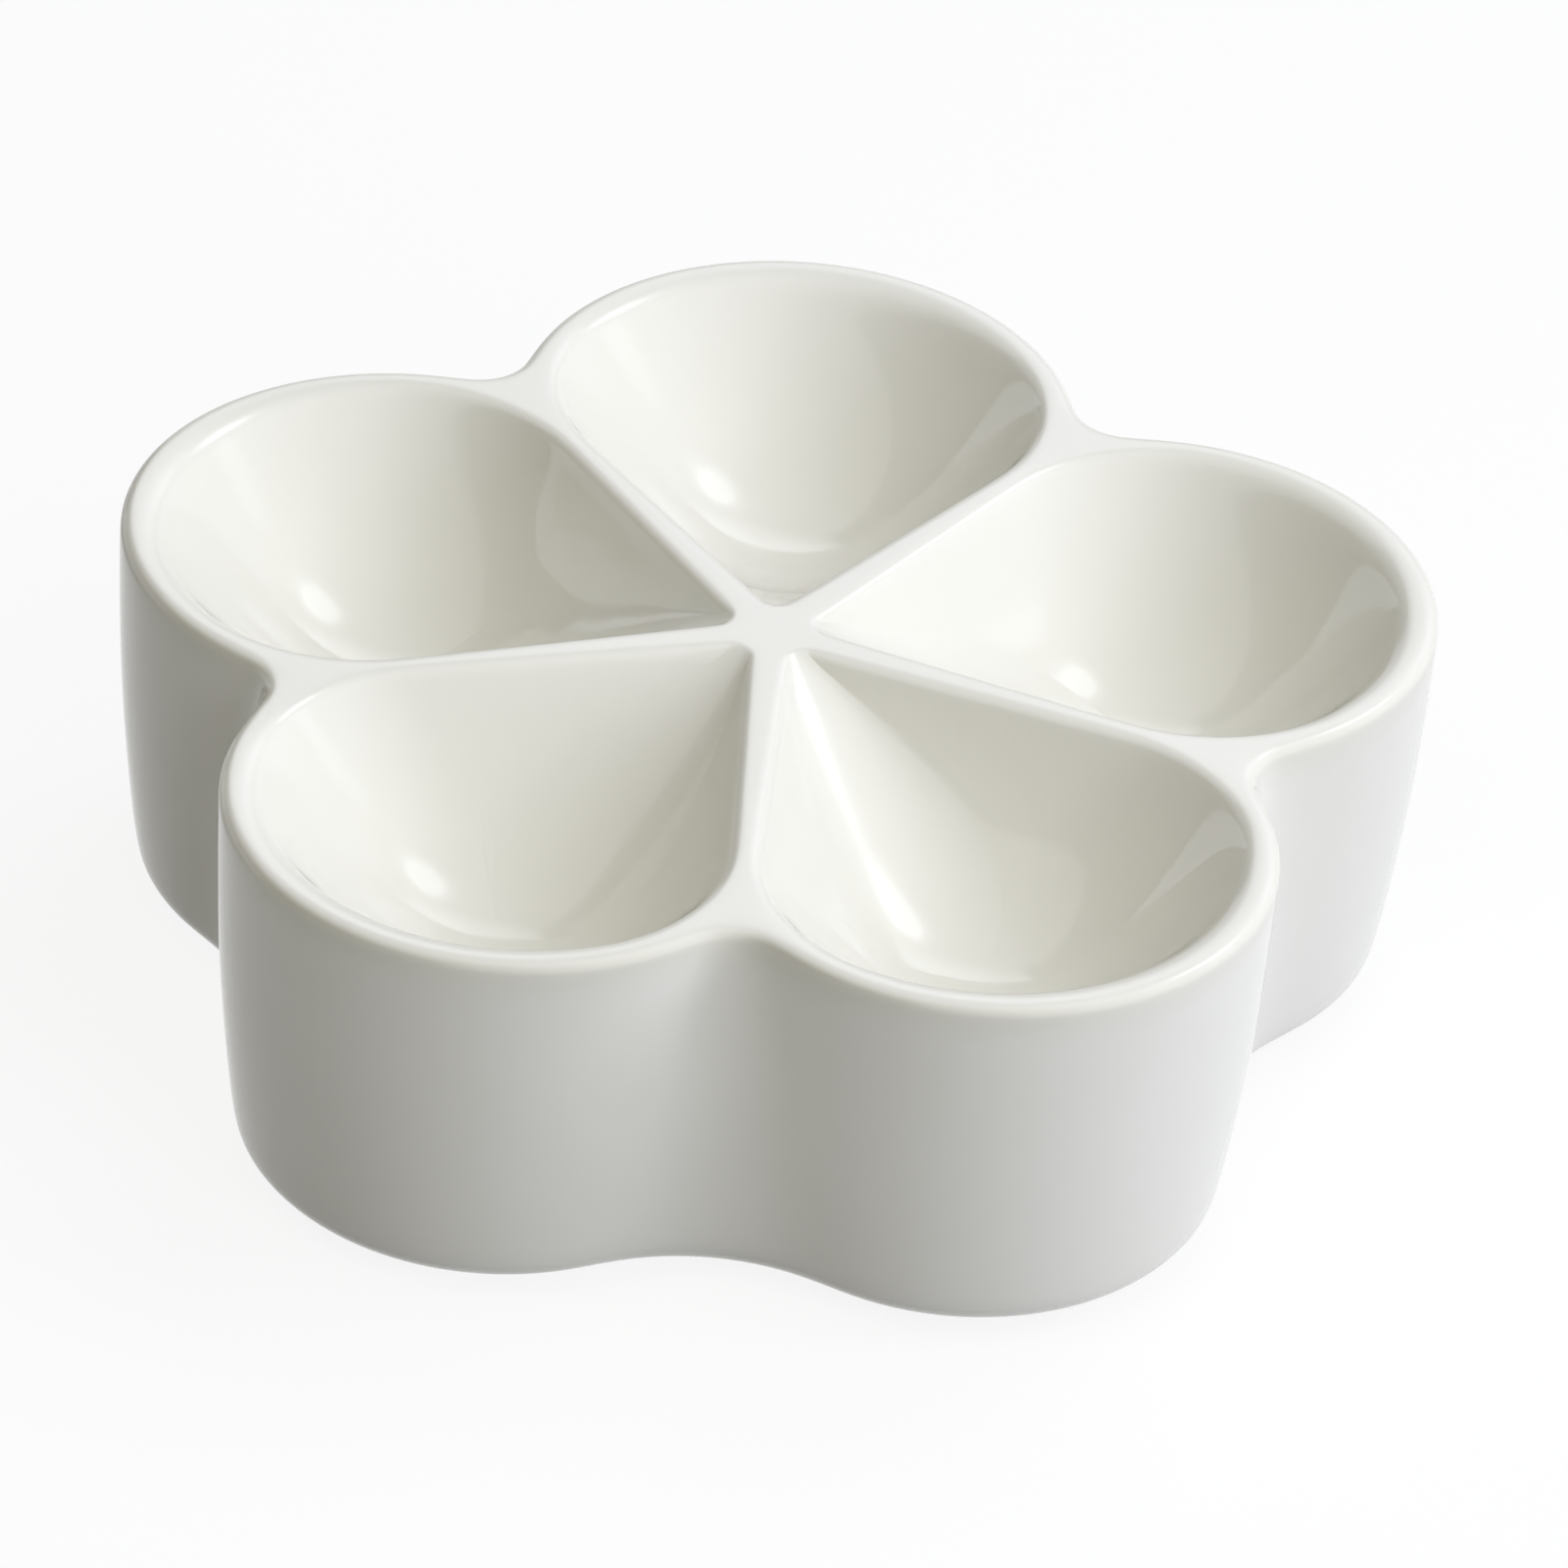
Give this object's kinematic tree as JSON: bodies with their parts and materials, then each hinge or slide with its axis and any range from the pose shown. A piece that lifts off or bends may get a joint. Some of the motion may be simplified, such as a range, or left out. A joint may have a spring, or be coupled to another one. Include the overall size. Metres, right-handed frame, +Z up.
{
  "type": "divided serving bowl",
  "caption": "Divided ceramic serving bowl with a petal outline: petal-shaped cups meet at a hub inside one low double wall that stands on a foot ring.",
  "frame": {"origin": "on the table plane, under the hub where the cups meet: the middle of the foot ring's flat bottom", "axes": "+Z up, out of the cups; +Y towards one petal's tip; the other petals follow at equal turns about Z"},
  "size_m": [0.1944, 0.1889, 0.063],
  "materials": {
    "glazed_ware": "glossy off-white glaze",
    "bare_clay": "unglazed, ground flat"
  },
  "bodies": {
    "root": {"cup_liner": "glazed_ware", "outer_shell": "glazed_ware", "foot_ring": "bare_clay"}
  },
  "joints": []
}
